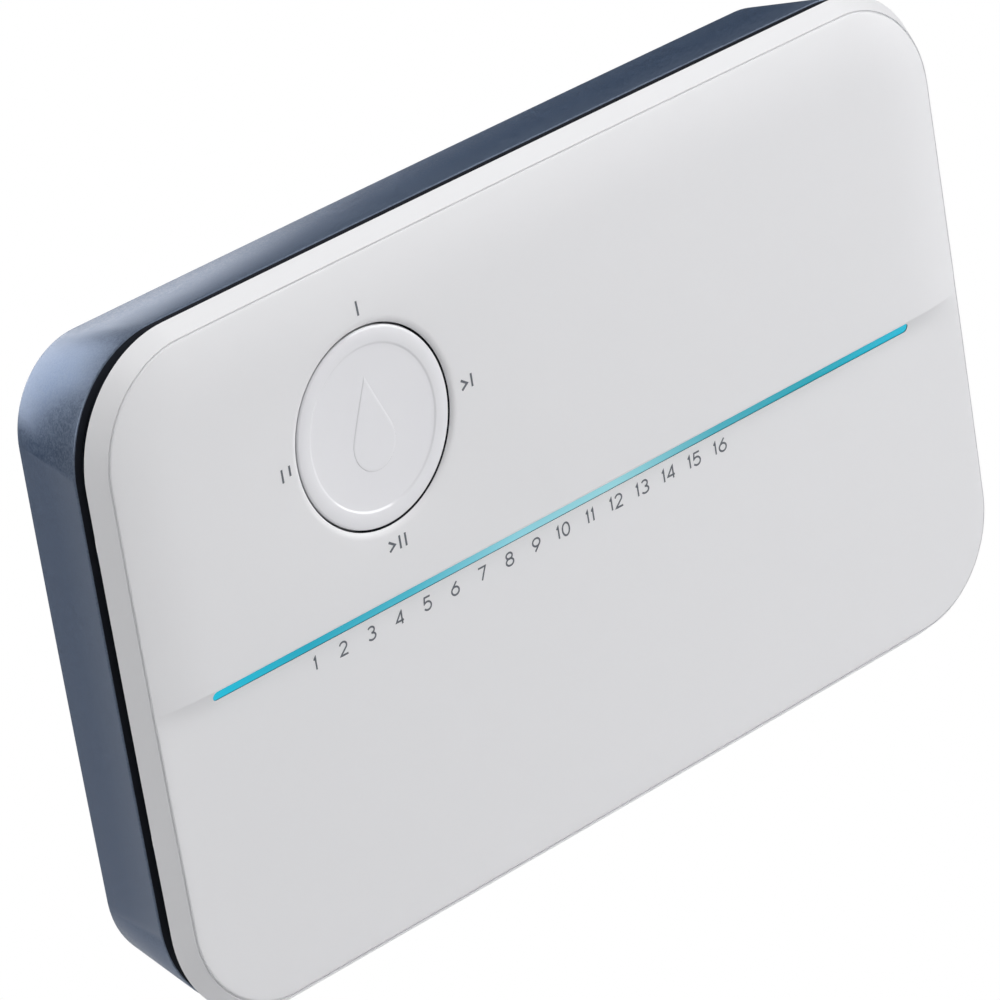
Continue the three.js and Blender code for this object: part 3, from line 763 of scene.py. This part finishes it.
def button():
    rim = CAP_RIM_DEPTH
    skirt_depth = CAP_BOTTOM_DEPTH - CAP_SKIRT
    dish_radii = (0, 2, 4, 6, 8, 10, 12, 14, 15, 16)
    dish = [(r, dish_depth(BUTTON_X + r, BUTTON_Z)) for r in dish_radii]
    profile = dish + [
        (16.15, rim + 0.17),
        (16.35, rim + 0.05),
        (16.6, rim),
        (17.9, rim - 0.02),
        (CAP_R - 0.6, rim),
        (CAP_R - 0.25, rim + 0.08),
        (CAP_R - 0.07, rim + 0.24),
        (CAP_R, rim + 0.5),
        (CAP_R, CAP_FLANGE_DEPTH),
        (CAP_FLANGE_R, CAP_FLANGE_DEPTH),
        (CAP_FLANGE_R, skirt_depth),
        (CAP_WALL_R, skirt_depth),
        (CAP_WALL_R, CAP_UNDER_DEPTH),
        (0, CAP_UNDER_DEPTH),
    ]
    cap = turned(
        "button_cap_shell", profile, BUTTON_X, BUTTON_Z, [BUTTON], "button", 128
    )
    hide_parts("button_cap")
    return cap


BAR_FLANGE_DEPTH = TOTAL_DEPTH - 33.1
BAR_CROWN = 0.3


def light_bar():
    skin = Skin()
    back = bar_box[1][1]
    outer = stadium(BAR_X, BAR_Z, BAR_LENGTH, BAR_HEIGHT)
    crown = stadium(BAR_X, BAR_Z, BAR_LENGTH - BAR_CROWN, BAR_HEIGHT - BAR_CROWN)
    flange = stadium(BAR_X, BAR_Z, BAR_LENGTH + FLANGE_EXTRA, BAR_FLANGE)
    loops = skin.chain([
        with_depth(crown, lambda x, z: lower_depth(x, z) + 0.04),
        with_depth(outer, lambda x, z: lower_depth(x, z) + 0.16),
        with_depth(outer, BAR_FLANGE_DEPTH),
        with_depth(flange, BAR_FLANGE_DEPTH),
        with_depth(flange, back),
    ])
    skin.face(loops[0])
    skin.face(loops[-1])
    bar = skin.build("light_guide", [LIGHT], "cover")
    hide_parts("light_bar")
    return bar


# ------------------------------------------------------------------------------- housing


SHOULDER_START = 0.96  # share of the side's depth at which its rear edge starts to round
SHOULDER_ROUND = 1.0
JACK_HOLE_R = 5.5
HOUSING_SHARP = 35


def housing():
    skin = Skin()
    back_side = mix(HOUSING_FRONT, HOUSING_BACK, SHOULDER_START)
    side_depth = SHOULDER_DEPTH - HOUSING_FRONT_DEPTH
    before_shoulder = HOUSING_FRONT_DEPTH + side_depth * SHOULDER_START
    inner_front = inset(HOUSING_FRONT, WALL)
    inner_back = inset(HOUSING_BACK, WALL)
    floor = TOTAL_DEPTH - WALL
    step = SHOULDER_DEPTH - WALL
    plinth_hollow = inset(PLINTH, WALL)
    loops = [
        with_depth(outline(inner_front), HOUSING_FRONT_DEPTH),
        with_depth(outline(inset(HOUSING_FRONT, 0.3)), HOUSING_FRONT_DEPTH),
        with_depth(outline(inset(HOUSING_FRONT, 0.08)), HOUSING_FRONT_DEPTH + 0.08),
        with_depth(outline(HOUSING_FRONT), HOUSING_FRONT_DEPTH + 0.3),
        with_depth(outline(back_side), before_shoulder),
    ]
    loops += curve(
        with_depth(outline(back_side), before_shoulder),
        with_depth(outline(HOUSING_BACK), SHOULDER_DEPTH),
        with_depth(outline(inset(HOUSING_BACK, SHOULDER_ROUND)), SHOULDER_DEPTH),
        5,
    )[1:]
    loops += [
        with_depth(outline(PLINTH, 0), SHOULDER_DEPTH),
        with_depth(outline(PLINTH, 0), TOTAL_DEPTH - 0.5),
        with_depth(outline(inset(PLINTH, 0.15), 0), TOTAL_DEPTH - 0.15),
        with_depth(outline(inset(PLINTH, 0.5), 0), TOTAL_DEPTH),
    ]
    # Finish 1 is painted shade in the gap behind the cover. It goes on the front lip here and on
    # the inner walls below.
    skin.chain(loops[:2], 1)
    skin.chain(loops[1:])
    skin.chain([
        with_depth(outline(inner_front), HOUSING_FRONT_DEPTH),
        with_depth(outline(inner_back), step),
        with_depth(outline(plinth_hollow, 0), step),
        with_depth(outline(plinth_hollow, 0), floor),
    ], 1)
    holes = [circle(x, z, WALL_SCREW_R, 32) for x, z in WALL_SCREWS]
    holes.append(stadium(*CABLE_ENTRY))

    def solid_floor(x, z):
        if any(math.hypot(x - u, z - v) < WALL_SCREW_R for u, v in WALL_SCREWS):
            return False
        u, v, w, h = CABLE_ENTRY
        return math.hypot(max(abs(x - u) - (w - h) / 2, 0), z - v) > h / 2 * 0.999

    hole_lines = [(hole, True) for hole in holes]
    for border, depth in ((inset(PLINTH, 0.5), TOTAL_DEPTH), (plinth_hollow, floor)):
        line = [(outline(border, 0), True)]
        skin.sheet(line + hole_lines, lambda x, z, d=depth: d, solid_floor)
    for hole in holes:
        skin.chain([with_depth(hole, TOTAL_DEPTH), with_depth(hole, floor)])
    shell = skin.build("rear_housing_shell", [PAINT, PAINTED_SHADE], "base", HOUSING_SHARP)
    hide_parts("rear_housing")
    cut_round_hole(shell, at(JACK_X, JACK_DEPTH, -HEIGHT / 2), JACK_HOLE_R * MM)
    return shell


def cut_round_hole(obj, centre, radius):
    """Cuts a hole along z through obj at centre."""
    tool_mesh = bpy.data.meshes.new("hole_tool")
    bm = bmesh.new()
    bmesh.ops.create_cone(
        bm, cap_ends=True, segments=48, radius1=radius, radius2=radius, depth=0.02,
        matrix=Matrix.Translation(centre),
    )
    bm.to_mesh(tool_mesh)
    bm.free()
    tool = bpy.data.objects.new("hole_tool", tool_mesh)
    bpy.context.scene.collection.objects.link(tool)
    modifier = obj.modifiers.new("jack hole", "BOOLEAN")
    modifier.object = tool
    modifier.operation = "DIFFERENCE"
    modifier.solver = "EXACT"
    depsgraph = bpy.context.evaluated_depsgraph_get()
    result = bpy.data.meshes.new_from_object(obj.evaluated_get(depsgraph))
    obj.modifiers.clear()
    obj.data = result
    bpy.data.objects.remove(tool)
    tidy(obj.data, HOUSING_SHARP)


# ------------------------------------------------------- numbers and button symbols

STROKE = 0.4
SYMBOL_STROKE = 0.5
NUMBER_HEIGHT = 2.65
NUMBER_WIDTH = 1.98
ONE_WIDTH = 0.42
NUMBER_GAP = 1.05
NUMBER_Z = -5.92
FIRST_NUMBER_X = -73.0
NUMBER_PITCH = 7.54
INK_LIFT = 0.02
ZONES = 16


def arc(x, y, rx, ry, start, end):
    steps = max(3, round(abs(end - start) / 15))
    angles = [math.radians(start + (end - start) * i / steps) for i in range(steps + 1)]
    return [(x + rx * math.cos(a), y + ry * math.sin(a)) for a in angles]


def digit_strokes():
    """Strokes of each digit in a box one wide and one high."""
    six = [
        arc(0.5, 0.31, 0.5, 0.31, 0, 360),
        [(0.78, 1.0)] + arc(0.5, 0.31, 0.5, 0.31, 128, 175)[:2],
    ]
    nine = [[(1 - x, 1 - y) for x, y in line] for line in six]
    return {
        "0": [arc(0.5, 0.5, 0.48, 0.5, 0, 360)],
        "1": [[(0.0, 0.76), (1.0, 1.0), (1.0, 0.0)]],
        "2": [arc(0.48, 0.71, 0.46, 0.29, 165, -30) + [(0.0, 0.0), (1.0, 0.0)]],
        "3": [arc(0.46, 0.75, 0.42, 0.25, 150, -90), arc(0.46, 0.26, 0.5, 0.26, 90, -150)],
        "4": [[(0.78, 0.0), (0.78, 1.0), (0.0, 0.27), (1.0, 0.27)]],
        "5": [[(0.92, 1.0), (0.16, 1.0), (0.08, 0.54)] + arc(0.46, 0.32, 0.5, 0.32, 130, -150)],
        "6": six,
        "7": [[(0.0, 1.0), (1.0, 1.0), (0.36, 0.0)]],
        "8": [arc(0.5, 0.76, 0.42, 0.24, 0, 360), arc(0.5, 0.27, 0.5, 0.27, 0, 360)],
        "9": nine,
    }


DIGITS = digit_strokes()


def ribbon(skin, line, depth_at, stroke=STROKE):
    """A flat stroke along a line of (x, z) points, lying just proud of a surface."""
    closed = math.dist(line[0], line[-1]) < 1e-6
    points = line[:-1] if closed else line
    count = len(points)
    sides = [[], []]
    for i, (x, z) in enumerate(points):
        before = points[i - 1] if i or closed else points[0]
        after = points[(i + 1) % count] if i < count - 1 or closed else points[-1]
        ways = []
        for p, q in ((before, (x, z)), ((x, z), after)):
            run = math.dist(p, q)
            if run > 1e-9:
                ways.append(((q[0] - p[0]) / run, (q[1] - p[1]) / run))
        way = Vector((sum(w[0] for w in ways), sum(w[1] for w in ways))).normalized()
        spread = stroke / 2 / max(abs(way.dot(Vector(ways[0]))), 0.5)
        for side, sign in zip(sides, (1, -1)):
            u = x - way.y * spread * sign
            v = z + way.x * spread * sign
            side.append((u, depth_at(u, v) - INK_LIFT, v))
    skin.bridge(skin.loop(sides[0]), skin.loop(sides[1]), closed=closed)


def dense(line, step=0.4):
    """The same line with points at most a step apart."""
    points = [line[0]]
    for start, end in zip(line, line[1:]):
        parts = max(1, math.ceil(math.dist(start, end) / step))
        points.extend(mix(start, end, i / parts) for i in range(1, parts + 1))
    return points


def write_number(skin, number, middle_x, z, gap, depth_at):
    """A number in strokes, centred on middle_x and z."""
    text = str(number)
    widths = [ONE_WIDTH if c == "1" else NUMBER_WIDTH for c in text]
    x = middle_x - (sum(widths) + gap * (len(text) - 1)) / 2
    for c, w in zip(text, widths):
        for line in DIGITS[c]:
            placed = [(x + w * u, z + NUMBER_HEIGHT * (v - 0.5)) for u, v in line]
            ribbon(skin, dense(placed), depth_at)
        x += w + gap


def numbers():
    skin = Skin()
    for i in range(ZONES):
        x = FIRST_NUMBER_X + NUMBER_PITCH * i
        write_number(skin, i + 1, x, NUMBER_Z, NUMBER_GAP, lower_depth)
    return skin.build("zone_numbers", [INK], "cover")


def bar_mark(x, z, height):
    return [(x, z - height / 2), (x, z + height / 2)]


def skip_mark(x, z):
    return [(x, z + 1.0), (x + 1.5, z), (x, z - 1.0)]


def button_marks():
    """Start above the button, skip to its right, pause to its left, step below it."""
    lines = [
        bar_mark(-48.75, 57.4, 2.9),
        skip_mark(-26.25, 33.0),
        bar_mark(-23.45, 33.2, 2.7),
        bar_mark(-73.95, 33.1, 2.7),
        bar_mark(-71.95, 33.5, 2.1),
        skip_mark(-51.05, 9.3),
        bar_mark(-48.15, 9.35, 2.7),
        bar_mark(-46.65, 9.35, 2.7),
    ]
    skin = Skin()
    for line in lines:
        ribbon(skin, dense(line), upper_depth, SYMBOL_STROKE)
    return skin.build("button_symbols", [INK], "cover")


def dish_depth(x, z):
    """Depth of the button's shallow dish."""
    share = math.hypot(x - BUTTON_X, z - BUTTON_Z) / DISH_R
    return CAP_RIM_DEPTH + 0.5 - 0.33 * share * share


DROP_PROFILE = [(1.0, -0.03), (0.98, 0.07), (0.95, 0.1)] + [
    (0.95 - 0.095 * i, 0.1) for i in range(1, 11)
]


def drop_emblem():
    """A plain water drop in low relief in the button's dish."""
    tip = 10.5
    r = 5.6
    low = -3.2
    side = math.degrees(math.acos(r / (tip - low)))
    outer = arc(0, low, r, r, 90 - side, -270 + side)
    outer = [(0, tip)] + outer
    skin = Skin()
    loops = []
    for scale, lift in DROP_PROFILE:
        ring = [
            (BUTTON_X + x * scale, BUTTON_Z + low + (z - low) * scale)
            for x, z in dense(outer + [outer[0]], 0.8)[:-1]
        ]
        loops.append([(x, dish_depth(x, z) - lift, z) for x, z in ring])
    skin.chain(loops)
    return skin.build("drop_emblem", [BUTTON], "button")


# ---------------------------------------------------------------------- housing inside

POST_R = 4.2
STANDOFF_R = 3
PEG_R = 1.3
SEAT_R = 5
FLOOR_DEPTH = TOTAL_DEPTH - WALL
SEAT_DEPTH = TOTAL_DEPTH - 3.2
POST_TOP_DEPTH = TOTAL_DEPTH - 25.7
PLATE_DEPTH = TOTAL_DEPTH - 27.8
BLOCK_X = (-54, 54)
TABS_PER_BLOCK = 9
TAB_PITCH = 7.2
FIRST_TAB = -28.8  # from the middle of a terminal block to its first tab
TERMINAL_NUMBER_Z = -56.5
TERMINAL_NUMBER_GAP = NUMBER_GAP * 0.7
LEG_PITCH = 1.27
BOARD_BACK = node_box("main_board")[1][1]
BOARD_FRONT = node_box("main_board")[1][0]


def housing_posts():
    paint = [PAINT]
    post_top = POST_TOP_DEPTH
    for i, (x, z) in enumerate(CHASSIS_POSTS, 1):
        turned(
            f"chassis_post_{i}",
            [(1.7, post_top + 12), (1.7, post_top + 0.3), (2, post_top), (POST_R - 0.3, post_top),
             (POST_R, post_top + 0.3), (POST_R + 0.4, SHOULDER_DEPTH - WALL)],
            x, z, paint, "base", 40,
        )
    for i, (x, z) in enumerate(BOARD_POSTS, 1):
        top = BOARD_BACK + 0.3
        profile = [
            (STANDOFF_R - 0.3, top),
            (STANDOFF_R, top + 0.3),
            (STANDOFF_R + 0.3, FLOOR_DEPTH),
        ]
        if i in (2, 3):
            peg = BOARD_FRONT - 1
            profile = [(0, peg), (PEG_R - 0.4, peg), (PEG_R, peg + 0.5), (PEG_R, top)] + profile
        turned(f"board_post_{i}", profile, x, z, paint, "base", 40)
    seat = SEAT_DEPTH
    for i, (x, z) in enumerate(WALL_SCREWS, 1):
        turned(
            f"screw_seat_{i}",
            [(WALL_SCREW_R, FLOOR_DEPTH), (WALL_SCREW_R, seat), (SEAT_R - 0.2, seat),
             (SEAT_R, seat + 0.2), (SEAT_R, FLOOR_DEPTH)],
            x, z, paint, "base", 48,
        )


def box_piece(skin, x, z, w, h, front, back, finish=0, soften=0.12):
    """A small box with softened front edges."""
    def ring(by, depth):
        u, v = w / 2 - by, h / 2 - by
        return [(x - u, depth, z - v), (x + u, depth, z - v), (x + u, depth, z + v),
                (x - u, depth, z + v)]

    loops = skin.chain([ring(soften, front), ring(0, front + soften), ring(0, back)], finish)
    skin.face(loops[0], finish)


def board_details(materials):
    """Small parts, pads and links on the main board, in front of its face."""
    skin = Skin()
    face = BOARD_FRONT
    rows = [(-10, 36), (16, 40), (52, 36), (-40, 8), (8, 4), (-64, 8), (66, -6)]
    for number, (x0, z0) in enumerate(rows):
        for i in range(6):
            x = x0 + 3.2 * i
            z = z0 + (1.4 if (i + number) % 3 == 0 else 0)
            tall = 0.6 + 0.25 * ((i + number) % 2)
            box_piece(skin, x, z, 1.1, 0.9, face - tall, face, 0, 0.05)
            for side in (-1, 1):
                box_piece(skin, x + side * 0.75, z, 0.5, 1.0, face - tall - 0.02, face, 1, 0.05)
    for x0 in BLOCK_X:
        for i in range(TABS_PER_BLOCK):
            x = x0 + FIRST_TAB + TAB_PITCH * i
            box_piece(skin, x, -15.4, 3.2, 3, face - 1.6, face, 0, 0.2)
    for chip in ("processor_chip", "driver_chip_1", "driver_chip_2"):
        (x0, x1), _, (z0, z1) = node_box(chip)
        legs = int((z1 - z0) / LEG_PITCH)
        for i in range(legs):
            z = (z0 + z1) / 2 + (i - (legs - 1) / 2) * LEG_PITCH
            for x in (x0 - 0.8, x1 + 0.8):
                box_piece(skin, x, z, 1.9, 0.5, face - 0.5, face, 1, 0.05)
    return skin.build("small_parts", materials, "base")


def terminal_numbers():
    """Numbers moulded beside the terminals, on the chassis below its window."""
    skin = Skin()
    for i in range(ZONES):
        block, place = divmod(i, ZONES // 2)
        x = BLOCK_X[block] + FIRST_TAB + TAB_PITCH * place
        write_number(
            skin, i + 1, x, TERMINAL_NUMBER_Z, TERMINAL_NUMBER_GAP, lambda u, v: PLATE_DEPTH
        )
    return skin.build("terminal_numbers", [PALE_INK], "base")


SOFT_EDGE = 0.12
SOFT_EDGES = {
    "rubber": 0.4,
    "dark_plastic": 0.2,
    "block_white": 0.2,
    "tab_blue": 0.35,
    "circuit_board": 0.06,
    "cable_film": 0.04,
    "fuse_yellow": 0.3,
    "inductor_core": 0.5,
    "capacitor_can": 0.5,
    "steel": 0.1,
}


def finish_cad_nodes():
    """CAD nodes that keep their own shape get softened edges and their slot's material."""
    finishes = slot_materials()
    for name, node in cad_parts.items():
        slot = node.data.materials[0].name.split(".")[0]
        node.data.materials.clear()
        node.data.materials.append(finishes[slot])
        if node.hide_render:
            continue
        weld = node.modifiers.new("weld", "WELD")
        weld.merge_threshold = 2e-6
        bevel = node.modifiers.new("soft edges", "BEVEL")
        bevel.width = SOFT_EDGES.get(slot, SOFT_EDGE) * MM
        bevel.segments = 2
        bevel.limit_method = "ANGLE"
        bevel.angle_limit = math.radians(32)
        node.modifiers.new("even shading", "WEIGHTED_NORMAL")
        for face in node.data.polygons:
            face.use_smooth = True
    return finishes


# --------------------------------------------------------------------- stage and camera


FLOOR_REACH = 6
FLOOR_Z = -0.32


def floor_and_lights():
    floor_mesh = bpy.data.meshes.new("floor")
    size, drop = FLOOR_REACH, FLOOR_Z
    floor_mesh.from_pydata(
        [(-size, -size, drop), (size, -size, drop), (size, size, drop), (-size, size, drop)],
        [],
        [(0, 1, 2, 3)],
    )
    floor = bpy.data.objects.new("floor", floor_mesh)
    bpy.context.scene.collection.objects.link(floor)
    floor_mesh.materials.append(floor_material())

    studio_world()
    area_light("key_top_right", (1.2, -0.68, 1.35), (0, 0, 0), 1.1, 1.1, 15.6)
    area_light("key_top", (-0.1, -0.6, 1.1), (0, 0, 0), 0.6, 0.6, 4.2)
    area_light("front_right", (1.6, -1.4, 0.3), (0, 0, 0), 1.2, 1.2, 17.8)
    area_light("side_left", (-0.9, 0.1, 0.55), (0, 0, 0), 0.7, 0.7, 3.9)
    area_light("rear_left", (-0.12, 0.38, 0.2), (-0.1, 0, 0.04), 0.3, 0.42, 1.65)
    area_light("rear_middle", (0.13, 0.38, 0.17), (-0.05, 0, 0.06), 0.2, 0.2, 0.36)


def studio_world():
    """Even soft light from the front half of the room, less from behind the wall plane."""
    world = bpy.data.worlds.new("studio")
    bpy.context.scene.world = world
    world.use_nodes = True
    tree = world.node_tree
    background = tree.nodes["Background"]
    background.inputs["Color"].default_value = (0.98, 0.99, 1.0, 1)
    place = tree.nodes.new("ShaderNodeTexCoord")
    split = tree.nodes.new("ShaderNodeSeparateXYZ")
    tree.links.new(place.outputs["Generated"], split.inputs["Vector"])
    strength = tree.nodes.new("ShaderNodeMapRange")
    tree.links.new(split.outputs["Y"], strength.inputs["Value"])
    strength.inputs["From Min"].default_value = -0.2
    strength.inputs["From Max"].default_value = 0.7
    strength.inputs["To Min"].default_value = 0.14
    strength.inputs["To Max"].default_value = 0.07
    tree.links.new(strength.outputs["Result"], background.inputs["Strength"])


def area_light(name, place, target, width, height, power):
    data = bpy.data.lights.new(name, "AREA")
    data.shape = "RECTANGLE"
    data.size = width
    data.size_y = height
    data.energy = power
    light = bpy.data.objects.new(name, data)
    light.location = place
    light.rotation_euler = (Vector(target) - Vector(place)).to_track_quat("-Z", "Y").to_euler()
    bpy.context.scene.collection.objects.link(light)


def floor_material():
    """Pale floor that looks evenly white to the camera."""
    n = Nodes("floor_white")
    pale = n.blend(n.noise(3), (0.8, 0.8, 0.81, 1), (0.77, 0.77, 0.78, 1))
    n.set(Base_Color=pale, Roughness=0.9)
    path = n.tree.nodes.new("ShaderNodeLightPath")
    glow = n.add("ShaderNodeEmission", Color=(1, 1, 1, 1), Strength=1.0)
    output = n.tree.nodes["Material Output"]
    chooser = n.tree.nodes.new("ShaderNodeMixShader")
    n.feed(chooser.inputs[0], path.outputs["Is Camera Ray"])
    n.feed(chooser.inputs[1], n.shader.outputs[0])
    n.feed(chooser.inputs[2], glow.outputs[0])
    n.feed(output.inputs["Surface"], chooser.outputs[0])
    return n.material


def camera():
    data = bpy.data.cameras.new("camera")
    data.lens = LENS
    data.shift_x, data.shift_y = LENS_SHIFT
    data.sensor_width = 36
    data.clip_end = 20
    cam = bpy.data.objects.new("camera", data)
    bpy.context.scene.collection.objects.link(cam)
    toward = Vector((
        -math.sin(AZIMUTH) * math.cos(ELEVATION),
        math.cos(AZIMUTH) * math.cos(ELEVATION),
        -math.sin(ELEVATION),
    ))
    right = toward.cross(Vector((0, 0, 1))).normalized()
    up = right.cross(toward)
    rolled_right = right * math.cos(ROLL) + up * math.sin(ROLL)
    rolled_up = rolled_right.cross(toward)
    turn = Matrix((rolled_right, rolled_up, -toward)).transposed()
    cam.matrix_world = Matrix.Translation(TARGET - toward * CAMERA_DISTANCE) @ turn.to_4x4()
    bpy.context.scene.camera = cam


bpy.context.scene.view_settings.view_transform = "Standard"
front_cover()
magnet_bosses()
button()
drop_emblem()
light_bar()
numbers()
button_marks()
housing()
housing_posts()
finishes = finish_cad_nodes()
board_details([finishes["black_resin"], finishes["steel"]])
terminal_numbers()
floor_and_lights()
camera()
